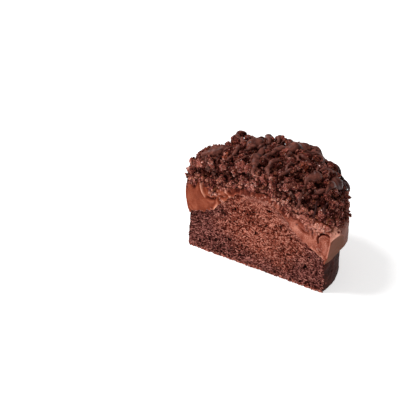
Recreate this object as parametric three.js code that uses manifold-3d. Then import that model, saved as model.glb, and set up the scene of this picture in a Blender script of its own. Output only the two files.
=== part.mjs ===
// Half of a small round brownie tart, cut straight through the middle: a brownie base that has baked up
// into a dome, a soft chocolate mousse that fills the shoulder round the dome and bulges over the wall,
// and a thick heap of chocolate crumbs on top. Millimetres, +Z up, +Y towards the rounded back.
import * as THREE from 'three';
import { mergeVertices } from 'three/addons/utils/BufferGeometryUtils.js';
import Module from 'manifold-3d';

const wasm = await Module();
wasm.setup();

// The round tart and its cut.
const BASE_RADIUS = 39.5;
const CUT_PAST_CENTRE = 2.2;
const CLEARANCE = 0.3;

// The brownie base: a wall that leans out a little, or in at the left, a rounded foot and a domed top.
const WALL_FLARE = 0.6;
const WALL_LEFT_INSET = 0.5;
const WALL_LEFT_LEAN = 2;
const WALL_HEIGHT = 17.6;
const FOOT_ROUND = 1;
const RIM_ROUND = 1.2;
const RIM_HEIGHT = 18;
const DOME_RISE = 19.6;
const DOME_REACH = 21.7;
const DOME_REACH_SKEW = 1.1;

// The mousse: thick at the rim, thin over the dome, bulging over the wall in a lip that is thick all
// round but smoothed away, and hangs lower, at the near corner.
const MOUSSE_RIM_HEIGHT = 33;
const MOUSSE_DOME_RISE = 6.4;
const MOUSSE_DOME_REACH = 22;
const MOUSSE_LIP = 3.3;
const MOUSSE_LIP_SMOOTHED = 0.7;
const MOUSSE_LIP_SMOOTHED_END = 0.5;
const MOUSSE_LIP_HEIGHT = 17.6;
const MOUSSE_LIP_DROP = 2.8;
const MOUSSE_LIP_DROP_SPREAD = 0.22;
const MOUSSE_LIP_WAVE = 0.45;
const MOUSSE_BULGE = 3.8;
const MOUSSE_BULGE_WAVE = 0.3;
const MOUSSE_LEFT_THINNING = 2.9;
const MOUSSE_SHOULDER_HEIGHT = 29;
const MOUSSE_SHOULDER_ROUND = 3.2;

// Near the right corner of the cut the mousse stands higher and the crumbs have fallen away.
const CORNER_LIFT = 2.4;
const CORNER_DEPTH = 9;
const CORNER_START = 15;
const CORNER_END = 34;

// The crumb heap: a squarish dome with an uneven skin, slumped along the cut and at the near corner.
const HEAP_FOOT_GAP = 2.2;
const HEAP_TUCK_TURNS = [1.15, 0.85, 0.5];
const HEAP_TOP = 54.3;
const HEAP_OVERHANG = 0;
const HEAP_SQUARENESS = 3.5;
const HEAP_LUMP = 1.2;
const HEAP_FRONT_SLUMP = 2.4;
const HEAP_FRONT_SLUMP_DEPTH = 5;
const HEAP_CORNER_SLUMP = 6.5;
const HEAP_CUT_RAGGEDNESS = 0.9;
const HEAP_CORNER_RECESS = 2.2;

// The lumps: crossed waves of two lengths, skewed so that they don't line up.
const LONG_LUMP = 12.4;
const SHORT_LUMP = 7.6;
const LUMP_SKEW = 0.5;
const CUT_LUMP = 6;

// Steps along each stretch of an outline and round the tart, and the block that the cut leaves whole.
const FOOT_STEPS = 3;
const WALL_STEPS = 2;
const DOME_STEPS = 14;
const BULGE_STEPS = 5;
const SHOULDER_STEPS = 4;
const HEAP_STEPS = 22;
const SMOOTH_SEGMENTS = 68;
const HEAP_SEGMENTS = 84;
const BLOCK_WIDTH = 120;
const BLOCK_DEPTH = 80;
const BLOCK_HEIGHT = 70;
const RAGGED_COLUMNS = 30;
const RAGGED_ROWS = 18;
const MERGE_DISTANCE = 1e-3;

const QUARTER_TURN = Math.PI / 2;

// One value for each of count even steps from 0 to 1, both ends included.
function steps(count, at) {
  return Array.from({ length: count + 1 }, (unused, i) => at(i / count));
}

// A round-topped bell: 1 at the centre, a half at its reach, and close to 0 far out.
function bell(distance, reach) {
  return 1 / (1 + (distance / reach) ** 4);
}

// How near a place is to the near corner: 1 at the right end of the cut, 0 away from it.
function cornerShare(x, y) {
  const behindCut = Math.max(0, y + CUT_PAST_CENTRE);
  const along = THREE.MathUtils.smoothstep(x, CORNER_START, CORNER_END);
  return along * Math.exp(-((behindCut / CORNER_DEPTH) ** 2));
}

// How near an angle is to the left end of the cut: 1 there, 0 over the right half.
function leftShare(angle) {
  return Math.max(0, -Math.cos(angle)) ** 3;
}

// The height of the brownie's top above the table, its dome a little wider to the right.
function brownieTop(x, y) {
  const distance = Math.hypot(x, y);
  const reach = DOME_REACH + DOME_REACH_SKEW * (distance > 0 ? x / distance : 0);
  return RIM_HEIGHT + DOME_RISE * bell(distance, reach);
}

// The height of the mousse's top above the table.
function mousseTop(x, y) {
  const dome = bell(Math.hypot(x, y), MOUSSE_DOME_REACH);
  return MOUSSE_RIM_HEIGHT + MOUSSE_DOME_RISE * dome + CORNER_LIFT * cornerShare(x, y);
}

// The brownie's wall radius at an angle and a height.
function wallRadius(angle, z) {
  const flare = WALL_FLARE - WALL_LEFT_LEAN * leftShare(angle);
  return BASE_RADIUS - WALL_LEFT_INSET * leftShare(angle) + flare * Math.min(z / WALL_HEIGHT, 1);
}

// The mousse's widest radius at an angle: thinner at the left end of the cut.
function mousseRadius(angle) {
  const wave = MOUSSE_BULGE_WAVE * Math.sin(3 * angle);
  return BASE_RADIUS + MOUSSE_BULGE + wave - MOUSSE_LEFT_THINNING * leftShare(angle);
}

// The angle away from the near corner, from 0 there to half a turn.
function cornerAngle(angle) {
  return Math.abs(Math.atan2(Math.sin(angle), Math.cos(angle)));
}

// The radius and height of the mousse's lower lip at an angle.
function mousseLip(angle) {
  const full = THREE.MathUtils.smoothstep(cornerAngle(angle), 0, MOUSSE_LIP_SMOOTHED_END);
  const smoothed = Math.min(1, 1 - full + leftShare(angle));
  const overhang = THREE.MathUtils.lerp(MOUSSE_LIP, MOUSSE_LIP_SMOOTHED, smoothed);
  const drop = MOUSSE_LIP_DROP * Math.exp(-((cornerAngle(angle) / MOUSSE_LIP_DROP_SPREAD) ** 2));
  const height = MOUSSE_LIP_HEIGHT - drop + MOUSSE_LIP_WAVE * Math.sin(7 * angle);
  return new THREE.Vector2(wallRadius(angle, WALL_HEIGHT) + overhang, height);
}

// The height at which the mousse's wall turns into its shoulder.
function shoulderHeight(angle) {
  const x = BASE_RADIUS * Math.cos(angle);
  const y = BASE_RADIUS * Math.sin(angle);
  return MOUSSE_SHOULDER_HEIGHT + CORNER_LIFT * cornerShare(x, y);
}

// Uneven relief from -1 to 1 in crossed waves of one length.
function crossedWaves(x, y, z, length) {
  const turns = (2 * Math.PI) / length;
  const along = turns * (x - LUMP_SKEW * y);
  const across = turns * (y + LUMP_SKEW * (z + x));
  return Math.sin(along + 1) * Math.sin(across);
}

// The heap's lumps, from -1 to 1.
function lumps(x, y, z) {
  return (crossedWaves(x, y, z, LONG_LUMP) + crossedWaves(y, x, z, SHORT_LUMP)) / 2;
}

// A point of an outline at an angle, as radius and height.
function onSurface(radius, angle, height) {
  return new THREE.Vector2(radius, height(radius * Math.cos(angle), radius * Math.sin(angle)));
}

// The brownie's outline at an angle, from the middle of its underside to the top of its dome.
function brownieOutline(angle) {
  const foot = steps(FOOT_STEPS, (t) => {
    const turn = t * QUARTER_TURN;
    const inset = FOOT_ROUND * (1 - Math.sin(turn));
    const z = FOOT_ROUND * (1 - Math.cos(turn));
    return new THREE.Vector2(wallRadius(angle, z) - inset, z);
  });
  const wall = steps(WALL_STEPS, (t) => {
    const z = THREE.MathUtils.lerp(2 * FOOT_ROUND, WALL_HEIGHT, t);
    return new THREE.Vector2(wallRadius(angle, z), z);
  });
  const topRadius = wallRadius(angle, WALL_HEIGHT) - RIM_ROUND;
  const top = steps(DOME_STEPS, (t) => onSurface(topRadius * (1 - t), angle, brownieTop));
  return [new THREE.Vector2(0, 0), ...foot, ...wall, ...top];
}

// The mousse's rounded shoulder, grown outwards by a margin, from its wall to its top.
function shoulder(angle, turn, margin) {
  const round = MOUSSE_SHOULDER_ROUND;
  const centre = mousseRadius(angle) - round;
  const top = mousseTop(centre * Math.cos(angle), centre * Math.sin(angle));
  const rise = top - shoulderHeight(angle);
  const radius = centre + (round + margin) * Math.cos(turn);
  return new THREE.Vector2(radius, shoulderHeight(angle) + (rise + margin) * Math.sin(turn));
}

// The mousse's outline at an angle: out over the dome, down inside the lip, up its bulging wall and back.
function mousseOutline(angle) {
  const rim = wallRadius(angle, WALL_HEIGHT);
  const underTop = (x, y) => brownieTop(x, y) + CLEARANCE;
  const under = steps(DOME_STEPS, (t) => onSurface((rim - RIM_ROUND) * t, angle, underTop));
  const lip = mousseLip(angle);
  const inside = [
    new THREE.Vector2(rim + CLEARANCE, WALL_HEIGHT + CLEARANCE),
    new THREE.Vector2(rim + CLEARANCE, Math.min(lip.y, WALL_HEIGHT) + CLEARANCE / 2),
  ];
  const wall = steps(BULGE_STEPS, (t) => {
    const full = 1 - (1 - t) ** 2;
    const radius = THREE.MathUtils.lerp(lip.x, mousseRadius(angle), full);
    return new THREE.Vector2(radius, THREE.MathUtils.lerp(lip.y, shoulderHeight(angle), t));
  });
  const round = steps(SHOULDER_STEPS, (t) => shoulder(angle, t * QUARTER_TURN, 0)).slice(1);
  const start = mousseRadius(angle) - MOUSSE_SHOULDER_ROUND;
  const top = steps(DOME_STEPS, (t) => onSurface(start * (1 - t), angle, mousseTop)).slice(1);
  return [...under, ...inside, ...wall, ...round, ...top];
}

// How far the heap's top has slumped at a place, lower along the cut and lowest at the near corner.
function heapSlump(x, y) {
  const behindCut = Math.max(0, y + CUT_PAST_CENTRE);
  const front = HEAP_FRONT_SLUMP * Math.exp(-((behindCut / HEAP_FRONT_SLUMP_DEPTH) ** 2));
  return front + HEAP_CORNER_SLUMP * cornerShare(x, y);
}

// The crumb heap's outline at an angle: over the mousse, round its shoulder and up the lumpy outside.
function heapOutline(angle) {
  const start = mousseRadius(angle) - MOUSSE_SHOULDER_ROUND;
  const underTop = (x, y) => mousseTop(x, y) + CLEARANCE;
  const under = steps(DOME_STEPS, (t) => onSurface(start * t, angle, underTop));
  const tuck = HEAP_TUCK_TURNS.map((turn) => shoulder(angle, turn, CLEARANCE));
  const reach = mousseRadius(angle) + HEAP_OVERHANG;
  const foot = shoulderHeight(angle) + HEAP_FOOT_GAP;
  const outside = steps(HEAP_STEPS, (t) => {
    const turn = t * QUARTER_TURN;
    const across = Math.cos(turn) ** (2 / HEAP_SQUARENESS);
    const up = Math.sin(turn) ** (2 / HEAP_SQUARENESS);
    const x = reach * across * Math.cos(angle);
    const y = reach * across * Math.sin(angle);
    const z = THREE.MathUtils.lerp(foot, HEAP_TOP, up);
    const lump = HEAP_LUMP * lumps(x, y, z) * Math.sqrt(up);
    const slump = heapSlump(x, y) * up;
    return new THREE.Vector2(Math.max(0, reach + lump) * across, z + lump * up - slump);
  });
  outside[outside.length - 1].x = 0;
  return [...under, ...tuck, ...outside];
}

// A solid turned about +Z whose outline may change with the angle.
function turned(outline, segments) {
  const count = outline(0).length;
  const geometry = new THREE.LatheGeometry(outline(0), segments);
  const position = geometry.getAttribute('position');
  for (let i = 0; i <= segments; i += 1) {
    const angle = ((i % segments) / segments) * 2 * Math.PI;
    outline(angle).forEach((point, j) => {
      const x = point.x * Math.cos(angle);
      const y = point.x * Math.sin(angle);
      position.setXYZ(i * count + j, x, y, point.y);
    });
  }
  return geometry;
}

// A three.js geometry as a solid that can be cut, without the slivers at the axis.
function asSolid(geometry) {
  const bare = geometry.clone();
  bare.deleteAttribute('normal');
  bare.deleteAttribute('uv');
  const merged = mergeVertices(bare, MERGE_DISTANCE);
  const corners = merged.index.array;
  const triVerts = [];
  for (let i = 0; i < corners.length; i += 3) {
    const [a, b, c] = corners.slice(i, i + 3);
    if (a !== b && b !== c && c !== a) {
      triVerts.push(a, b, c);
    }
  }
  const mesh = new wasm.Mesh({
    numProp: 3,
    vertProperties: merged.getAttribute('position').array,
    triVerts: new Uint32Array(triVerts),
  });
  return new wasm.Manifold(mesh);
}

// A cut solid back as a three.js geometry.
function asGeometry(solid) {
  const mesh = solid.getMesh();
  const geometry = new THREE.BufferGeometry();
  geometry.setAttribute('position', new THREE.BufferAttribute(mesh.vertProperties, 3));
  geometry.setIndex(new THREE.BufferAttribute(mesh.triVerts, 1));
  geometry.computeVertexNormals();
  return geometry;
}

// The block of space behind the cut. A ragged one has a front face that dips in and out.
function behindCut(raggedness) {
  const columns = raggedness ? RAGGED_COLUMNS : 1;
  const rows = raggedness ? RAGGED_ROWS : 1;
  const block = new THREE.BoxGeometry(BLOCK_WIDTH, BLOCK_DEPTH, BLOCK_HEIGHT, columns, 1, rows);
  block.translate(0, BLOCK_DEPTH / 2 - CUT_PAST_CENTRE, BLOCK_HEIGHT / 2 - 1);
  const position = block.getAttribute('position');
  for (let i = 0; i < position.count; i += 1) {
    const x = position.getX(i);
    const z = position.getZ(i);
    if (position.getY(i) < 0) {
      const recess = HEAP_CORNER_RECESS * THREE.MathUtils.smoothstep(x, CORNER_START, CORNER_END);
      const dip = raggedness * (recess + 0.5 * (1 + crossedWaves(x, z, 0, CUT_LUMP)));
      position.setY(i, position.getY(i) + dip);
    }
  }
  return asSolid(block);
}

function halved(outline, segments, raggedness) {
  return asGeometry(asSolid(turned(outline, segments)).intersect(behindCut(raggedness)));
}

function foodMaterial(color, roughness) {
  return new THREE.MeshStandardMaterial({ color, roughness, metalness: 0 });
}

function piece(name, geometry, material) {
  const mesh = new THREE.Mesh(geometry, material);
  mesh.name = name;
  return mesh;
}

const tart = new THREE.Group();
const cakeBrown = foodMaterial(0x7a4438, 0.9);
const milkyBrown = foodMaterial(0x8a5440, 0.55);
const darkBrown = foodMaterial(0x4a2a25, 0.85);
tart.add(piece('brownie', halved(brownieOutline, SMOOTH_SEGMENTS, 0), cakeBrown));
tart.add(piece('mousse', halved(mousseOutline, SMOOTH_SEGMENTS, 0), milkyBrown));
tart.add(piece('crumb_topping', halved(heapOutline, HEAP_SEGMENTS, HEAP_CUT_RAGGEDNESS), darkBrown));

// The origin is in the middle of the underside of the tart's box.
const extent = new THREE.Box3().setFromObject(tart, true);
const middle = extent.getCenter(new THREE.Vector3());
tart.children.forEach((mesh) => mesh.position.set(-middle.x, -middle.y, -extent.min.z));

export default tart;
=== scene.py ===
import itertools
import math

import bmesh
import bpy
import numpy as np
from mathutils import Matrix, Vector
from mathutils.bvhtree import BVHTree


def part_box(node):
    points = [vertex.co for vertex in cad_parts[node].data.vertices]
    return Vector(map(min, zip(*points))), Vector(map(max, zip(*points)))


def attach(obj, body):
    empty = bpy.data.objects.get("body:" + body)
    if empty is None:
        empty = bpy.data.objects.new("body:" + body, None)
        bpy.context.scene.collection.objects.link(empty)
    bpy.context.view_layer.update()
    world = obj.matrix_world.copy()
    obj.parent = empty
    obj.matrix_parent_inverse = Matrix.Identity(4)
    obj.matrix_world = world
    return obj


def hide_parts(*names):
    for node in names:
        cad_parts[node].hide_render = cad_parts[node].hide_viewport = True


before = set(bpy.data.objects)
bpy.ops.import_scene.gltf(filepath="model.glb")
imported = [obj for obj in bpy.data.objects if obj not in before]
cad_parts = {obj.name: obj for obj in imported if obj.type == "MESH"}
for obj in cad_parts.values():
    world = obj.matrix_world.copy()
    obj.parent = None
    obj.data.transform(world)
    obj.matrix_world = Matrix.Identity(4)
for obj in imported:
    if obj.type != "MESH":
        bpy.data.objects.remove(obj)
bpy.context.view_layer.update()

MM = 0.001


# ---- The table and the light -------------------------------------------------------------------------
# A bright white table under a large soft lamp at the upper left, in a pale room, seen from a little
# above the table and from the right of the cut.
EYE_AZIMUTH = math.radians(36.91)
EYE_ELEVATION = math.radians(27.99)
EYE_DISTANCE = 1008.7
EYE_AIM = Vector((-62.68, 17.08, 0.0))
EYE_REACH = 20.0
PHOTO_MIDDLE = 200.0
PHOTO_FOCAL = 2000.0
SENSOR_WIDTH = 36.0
TABLE_HALF = 3.0
TABLE_WHITE = (0.9, 0.9, 0.9, 1.0)
TABLE_ROUGH = 0.7
TABLE_GLOW = 0.62
LAMP_SIZE = 0.42
LAMP_DISTANCE = 0.95
LAMP_POWER = 7.6
LAMP_LEFT, LAMP_UP, LAMP_NEAR = 0.75, 1.0, 0.45
ROOM_WHITE = (1.0, 1.0, 1.0, 1.0)
ROOM_LIGHT = 0.3

eye_back = Vector(
    (
        math.sin(EYE_AZIMUTH) * math.cos(EYE_ELEVATION),
        -math.cos(EYE_AZIMUTH) * math.cos(EYE_ELEVATION),
        math.sin(EYE_ELEVATION),
    )
)
eye_right = Vector((math.cos(EYE_AZIMUTH), math.sin(EYE_AZIMUTH), 0.0))
eye_up = eye_back.cross(eye_right)
eye_place = EYE_AIM + eye_back * EYE_DISTANCE


def sight(pixel):
    """The direction from the eye through a pixel of the photograph."""
    across = (pixel[0] - PHOTO_MIDDLE) / PHOTO_FOCAL
    down = (pixel[1] - PHOTO_MIDDLE) / PHOTO_FOCAL
    return (eye_right * across - eye_up * down - eye_back).normalized()


class Wire:
    """A shader socket. Sums and products add Math nodes, and node() adds any other node."""

    def __init__(self, tree, socket=None):
        self.tree = tree
        self.socket = socket

    def node(self, kind, settings=None, sockets=None, out=0):
        made = self.tree.nodes.new(kind)
        for name, value in (settings or {}).items():
            if name == "stops":
                ramp = made.color_ramp
                while len(ramp.elements) < len(value):
                    ramp.elements.new(1.0)
                for stop, (place, colour) in zip(ramp.elements, value):
                    stop.position = place
                    stop.color = colour
            else:
                setattr(made, name, value)
        for name, value in (sockets or {}).items():
            if isinstance(value, Wire):
                self.tree.links.new(value.socket, made.inputs[name])
            else:
                made.inputs[name].default_value = value
        return Wire(self.tree, made.outputs[out] if made.outputs else None)

    def math(self, operation, first, second):
        return self.node("ShaderNodeMath", {"operation": operation}, {0: first, 1: second})

    def __add__(self, other):
        return self.math("ADD", self, other)

    def __radd__(self, other):
        return self.math("ADD", other, self)

    def __sub__(self, other):
        return self.math("SUBTRACT", self, other)

    def __rsub__(self, other):
        return self.math("SUBTRACT", other, self)

    def __mul__(self, other):
        return self.math("MULTIPLY", self, other)

    def __rmul__(self, other):
        return self.math("MULTIPLY", other, self)


def paint(red, green, blue):
    """A colour as it shows on a screen, 0 to 255, in the shader's own linear terms."""
    shown = [value / 255 for value in (red, green, blue)]
    return (*[v / 12.92 if v < 0.04045 else ((v + 0.055) / 1.055) ** 2.4 for v in shown], 1.0)


def new_finish(name):
    """A new material, a wire to start its nodes from, and the place on the surface in millimetres."""
    material = bpy.data.materials.new(name)
    material.use_nodes = True
    material.node_tree.nodes.clear()
    start = Wire(material.node_tree)
    place = start.node("ShaderNodeNewGeometry")
    place = start.node("ShaderNodeVectorMath", {"operation": "SCALE"}, {0: place, "Scale": 1 / MM})
    return material, start, place


def coat(start, sockets):
    """Ends a material in one Principled surface."""
    surface = start.node("ShaderNodeBsdfPrincipled", {}, sockets)
    start.node("ShaderNodeOutputMaterial", {}, {"Surface": surface})


def new_piece(name, mesh, material):
    piece = bpy.data.objects.new(name, mesh)
    mesh.materials.clear()
    mesh.materials.append(material)
    bpy.context.scene.collection.objects.link(piece)
    return piece


camera = bpy.data.objects.new("eye", bpy.data.cameras.new("eye"))
camera.data.sensor_width = SENSOR_WIDTH
camera.data.lens = SENSOR_WIDTH * PHOTO_FOCAL / (2 * PHOTO_MIDDLE)
camera.data.clip_end = EYE_REACH
camera.location = eye_place * MM
camera.rotation_mode = "QUATERNION"
camera.rotation_quaternion = (-eye_back).to_track_quat("-Z", "Y")
bpy.context.scene.collection.objects.link(camera)
bpy.context.scene.camera = camera
bpy.context.scene.view_settings.view_transform = "Standard"

table_finish, start, place = new_finish("white_table")
coat(
    start,
    {
        "Base Color": TABLE_WHITE,
        "Roughness": TABLE_ROUGH,
        "Emission Color": ROOM_WHITE,
        "Emission Strength": TABLE_GLOW,
    },
)
table_mesh = bpy.data.meshes.new("table")
corner_ways = ((-1, -1), (1, -1), (1, 1), (-1, 1))
table_corners = [(x * TABLE_HALF, y * TABLE_HALF, 0) for x, y in corner_ways]
table_mesh.from_pydata(table_corners, [], [(0, 1, 2, 3)])
new_piece("table", table_mesh, table_finish)

lamp_way = (eye_right * -LAMP_LEFT + eye_up * LAMP_UP + eye_back * LAMP_NEAR).normalized()
lamp = bpy.data.objects.new("lamp", bpy.data.lights.new("lamp", "AREA"))
lamp.data.shape = "DISK"
lamp.data.size = LAMP_SIZE
lamp.data.energy = LAMP_POWER
lamp.location = lamp_way * LAMP_DISTANCE
lamp.rotation_euler = lamp_way.to_track_quat("Z", "Y").to_euler()
bpy.context.scene.collection.objects.link(lamp)

room = bpy.data.worlds.new("pale_room")
room.use_nodes = True
room_glow = room.node_tree.nodes["Background"]
room_glow.inputs["Color"].default_value = ROOM_WHITE
room_glow.inputs["Strength"].default_value = ROOM_LIGHT
bpy.context.scene.world = room


# ---- The brownie --------------------------------------------------------------------------------------
# A close, moist chocolate cake batter baked in a small ring till it domes. The knife tears its cut face
# into flakes and pores; the baked wall and foot have a thin dark skin.
# All lengths are in millimetres.
BROWNIE_VOXEL = 0.45
CUT_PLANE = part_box("brownie")[0].y / MM
TART_CENTRE = np.array([-1.42, -20.6])
# How far behind the knife's plane a face still belongs to the cut, surely and at most.
CUT_REACH = (1.4, 2.6)
# How the cake tears: fibres drawn out two ways, with shorter ones over them, between crumbs and pores.
FIBRE_LENGTH, FIBRE_WIDTH = 1.7, 0.55
FIBRE_TILTS = (-0.75, 0.5)
SHORT_TILT = 0.2
TEAR_DEPTH = 1.1
LONG_FIBRE_HEIGHT, SHORT_FIBRE_HEIGHT = 0.6, 0.4
CRUMB_SIZE = 2.3
PORE_SPACING = 4.2
PORE_SHARE = 0.3
PORE_DEPTH = 1.3
PORE_LEAST, PORE_MORE = 0.3, 0.65
# The pores that stand out: across, up and width.
BIG_PORES = ((-12.6, 28.0, 1.1), (6.9, 33.0, 1.1), (-0.6, 18.5, 1.25), (-30.6, 8.0, 0.9), (-27.5, 6.5, 0.8))
BIG_PORE_FLATNESS, BIG_PORE_DEPTH = 1.5, 1.3
SKIN_RELIEF = 0.22
SKIN_PITS, SKIN_PIT_SHARE, SKIN_PIT_DEPTH = 2.8, 0.35, 0.4
FOOT_WAVE = 0.12
# The knife has dragged mousse over the top of the cake: from where to where across, and how far down.
SMEAR_ACROSS = (-14.0, -8.0, 8.0, 16.0, 24.0, 29.0)
SMEAR_DOWN = (0.0, 2.2, 2.4, 4.6, 3.6, 0.0)
SMEAR_FILLS, SMEAR_COVERS = 0.4, 0.75
# How far to each side of the middle the cut goes, a distance clear of the whole tart, and the wall's height.
CUT_HALF, WELL_CLEAR, WALL_TOP = 41.0, 80.0, 30.0
DOWN, INTO_CUT = Vector((0, 0, -1)), Vector((0, 1, 0))
SEAM_STEPS = 165
# The middle of the cake is redder and lighter than its edges: its place, width, depth and how it fades.
CAKE_HEART = (3.0, 20.0)
HEART_WIDTH, HEART_DROP = 25.0, 15.0
HEART_EDGE = (0.5, 1.3)


def scattered(cell, seed):
    """A fixed random number from 0 to 1 for each whole-numbered place."""
    mixed = np.full(len(cell), seed * 374761393, np.int64)
    for axis, prime in zip(cell.T, (668265263, 2147483647, 1274126177)):
        mixed = (mixed + axis * prime) & 0xFFFFFFFF
        mixed = ((mixed ^ (mixed >> 15)) * 2246822519) & 0xFFFFFFFF
        mixed = ((mixed ^ (mixed >> 13)) * 3266489917) & 0xFFFFFFFF
    return (mixed ^ (mixed >> 16)) / 0xFFFFFFFF


def drift(points, size, seed):
    """Soft noise from -1 to 1 whose swells are about a size across."""
    scaled = points / size
    cell = np.floor(scaled).astype(np.int64)
    share = scaled - cell
    share = share * share * (3 - 2 * share)
    total = np.zeros(len(points))
    for corner in itertools.product((0, 1), repeat=points.shape[1]):
        weight = np.where(corner, share, 1 - share).prod(1)
        total += weight * scattered(cell + corner, seed)
    return 2 * total - 1


def grains(points, size, seed):
    """For crumbs packed a size apart: how far off the seam round each is, and its heart, and its number."""
    scaled = points / size
    cell = np.floor(scaled).astype(np.int64)
    near = np.full(len(points), np.inf)
    second = near.copy()
    number = np.zeros(len(points))
    for step in itertools.product((-1, 0, 1), repeat=points.shape[1]):
        there = cell + step
        heart = there + np.stack([scattered(there, seed + 1 + k) for k in range(points.shape[1])], 1)
        distance = np.linalg.norm(heart - scaled, axis=1)
        closer = distance < near
        second = np.where(closer, near, np.minimum(second, distance))
        number = np.where(closer, scattered(there, seed), number)
        near = np.minimum(near, distance)
    return (second - near) * size, near * size, number


def ease(values, low, high):
    """0 up to low, 1 from high, and a smooth rise between."""
    share = np.clip((values - low) / (high - low), 0, 1)
    return share * share * (3 - 2 * share)


def swirl(points, size, reach, seed):
    """The places pushed about by soft noise, so that a pattern laid on them isn't regular."""
    return points + reach * np.stack([drift(points, size, seed + k) for k in range(points.shape[1])], 1)


def fibres(flat, tilt, length, width, seed):
    """Ridges drawn out along a tilt, 1 on a crest and less between."""
    along = flat @ np.array([math.cos(tilt), math.sin(tilt)])
    across = flat @ np.array([-math.sin(tilt), math.cos(tilt)])
    return 1 - np.abs(drift(np.stack([along / length, across / width], 1), 1.0, seed))


def fine_mesh(node, voxel):
    """A fine, even mesh of a solid of the frame, twice as fine on the cut."""
    source = bpy.data.objects.new("fine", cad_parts[node].data.copy())
    bpy.context.scene.collection.objects.link(source)
    remesh = source.modifiers.new("even", "REMESH")
    remesh.mode = "VOXEL"
    remesh.voxel_size = voxel * MM
    shaped = source.evaluated_get(bpy.context.evaluated_depsgraph_get())
    mesh = bpy.data.meshes.new_from_object(shaped)
    bpy.data.objects.remove(source)
    shell = bmesh.new()
    shell.from_mesh(mesh)
    shell.normal_update()
    front = (CUT_PLANE + CUT_REACH[1]) * MM
    on_front = {face.index for face in shell.faces if face.normal.y < -0.6 and face.verts[0].co.y < front}
    edges = [edge for edge in shell.edges if any(face.index in on_front for face in edge.link_faces)]
    bmesh.ops.subdivide_edges(shell, edges=edges, cuts=1, use_grid_fill=True)
    shell.to_mesh(mesh)
    shell.free()
    return mesh


def read_points(mesh):
    points = np.empty(len(mesh.vertices) * 3)
    mesh.vertices.foreach_get("co", points)
    return points.reshape(-1, 3) / MM


def read_normals(mesh):
    normals = np.empty(len(mesh.vertices) * 3)
    mesh.vertex_normals.foreach_get("vector", normals)
    return normals.reshape(-1, 3)


def write_points(mesh, points, smooth=True):
    mesh.vertices.foreach_set("co", (points * MM).ravel())
    mesh.polygons.foreach_set("use_smooth", np.full(len(mesh.polygons), smooth))
    mesh.update()


def tag(mesh, name, values):
    """Keeps one number for each vertex, which the material reads."""
    mesh.attributes.new(name, "FLOAT", "POINT").data.foreach_set("value", values.astype(np.float32))


def cut_share(points, normals):
    """1 on the flat cut face and 0 elsewhere."""
    near = ease(-points[:, 1], -CUT_PLANE - CUT_REACH[1], -CUT_PLANE - CUT_REACH[0])
    return ease(-normals[:, 1], 0.35, 0.8) * near


def heart_share(points):
    """How near a place is to the middle of the cake, which is redder and lighter than its edges."""
    across = (points[:, 0] - CAKE_HEART[0]) / HEART_WIDTH
    down = np.maximum(0, CAKE_HEART[1] - points[:, 2]) / HEART_DROP
    return 1 - ease(np.hypot(across, down) + 0.22 * drift(points, 6.0, 91), *HEART_EDGE)


def tree_of(points, faces):
    """A surface to cast rays on."""
    return BVHTree.FromPolygons([Vector(point) for point in points], [tuple(face) for face in faces])


def faces_of(mesh):
    return [tuple(face.vertices) for face in mesh.polygons]


def solid_tree(node):
    """A solid of the frame, to cast rays on."""
    return tree_of(read_points(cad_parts[node].data), faces_of(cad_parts[node].data))


def heights_along(node, across):
    """How high a solid of the frame is just behind the cut."""
    tree = solid_tree(node)
    hits = [tree.ray_cast(Vector((x, CUT_PLANE + 0.6, WELL_CLEAR)), DOWN)[0] for x in across]
    return np.array([hit.z if hit is not None else WALL_TOP for hit in hits])


seam_across = np.linspace(-CUT_HALF, CUT_HALF, SEAM_STEPS)
dome_up = heights_along("brownie", seam_across)


def smear_share(points):
    """How much of the mousse smeared over the cake's cut a place has."""
    down = np.interp(points[:, 0], seam_across, dome_up) - points[:, 2]
    flat = points[:, [0, 2]]
    down += 0.9 * drift(flat, 1.6, 95) + 0.5 * drift(flat, 0.7, 96)
    reach = np.interp(points[:, 0], SMEAR_ACROSS, SMEAR_DOWN, left=0.0, right=0.0)
    return (1 - ease(down, reach - 0.8, reach + 0.4)) * ease(reach, 0.3, 1.5)


brownie_mesh = fine_mesh("brownie", BROWNIE_VOXEL)
points = read_points(brownie_mesh)
normals = read_normals(brownie_mesh)
on_cut = cut_share(points, normals)
on_foot = ease(-normals[:, 2], 0.5, 0.9)
flat = points[:, [0, 2]]
torn = swirl(swirl(flat, 2.4, 0.8, 11), 0.8, 0.25, 13)
first_way = ease(drift(flat, 6.0, 15), -0.3, 0.3)
long_fibre = first_way * fibres(torn, FIBRE_TILTS[0], FIBRE_LENGTH, FIBRE_WIDTH, 21)
long_fibre += (1 - first_way) * fibres(torn, FIBRE_TILTS[1], FIBRE_LENGTH, FIBRE_WIDTH, 22)
short_fibre = fibres(torn, SHORT_TILT, FIBRE_LENGTH / 2, FIBRE_WIDTH * 0.7, 31)
seam, _, number = grains(torn, CRUMB_SIZE, 35)
tear = TEAR_DEPTH - LONG_FIBRE_HEIGHT * long_fibre**2 - SHORT_FIBRE_HEIGHT * short_fibre**2
tear += 0.2 * drift(flat, 3.4, 41)
tear += 0.25 * (number - 0.5) + 0.15 * (1 - ease(seam, 0.0, 0.5)) + 0.1 * drift(flat, 0.45, 42)
_, pore_middle, pore_number = grains(torn, PORE_SPACING, 51)
pore_width = PORE_LEAST + PORE_MORE * (pore_number / PORE_SHARE)
pore = np.where(pore_number < PORE_SHARE, 1 - ease(pore_middle, 0.3 * pore_width, pore_width), 0)
for pore_x, pore_z, width in BIG_PORES:
    away = np.hypot(torn[:, 0] - pore_x, (torn[:, 1] - pore_z) * BIG_PORE_FLATNESS)
    pore = np.maximum(pore, BIG_PORE_DEPTH * (1 - ease(away, 0.35 * width, 1.25 * width)))
smeared = on_cut * smear_share(points)
cut_depth = (np.maximum(tear, 0) + PORE_DEPTH * pore) * (1 - SMEAR_FILLS * smeared)
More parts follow.
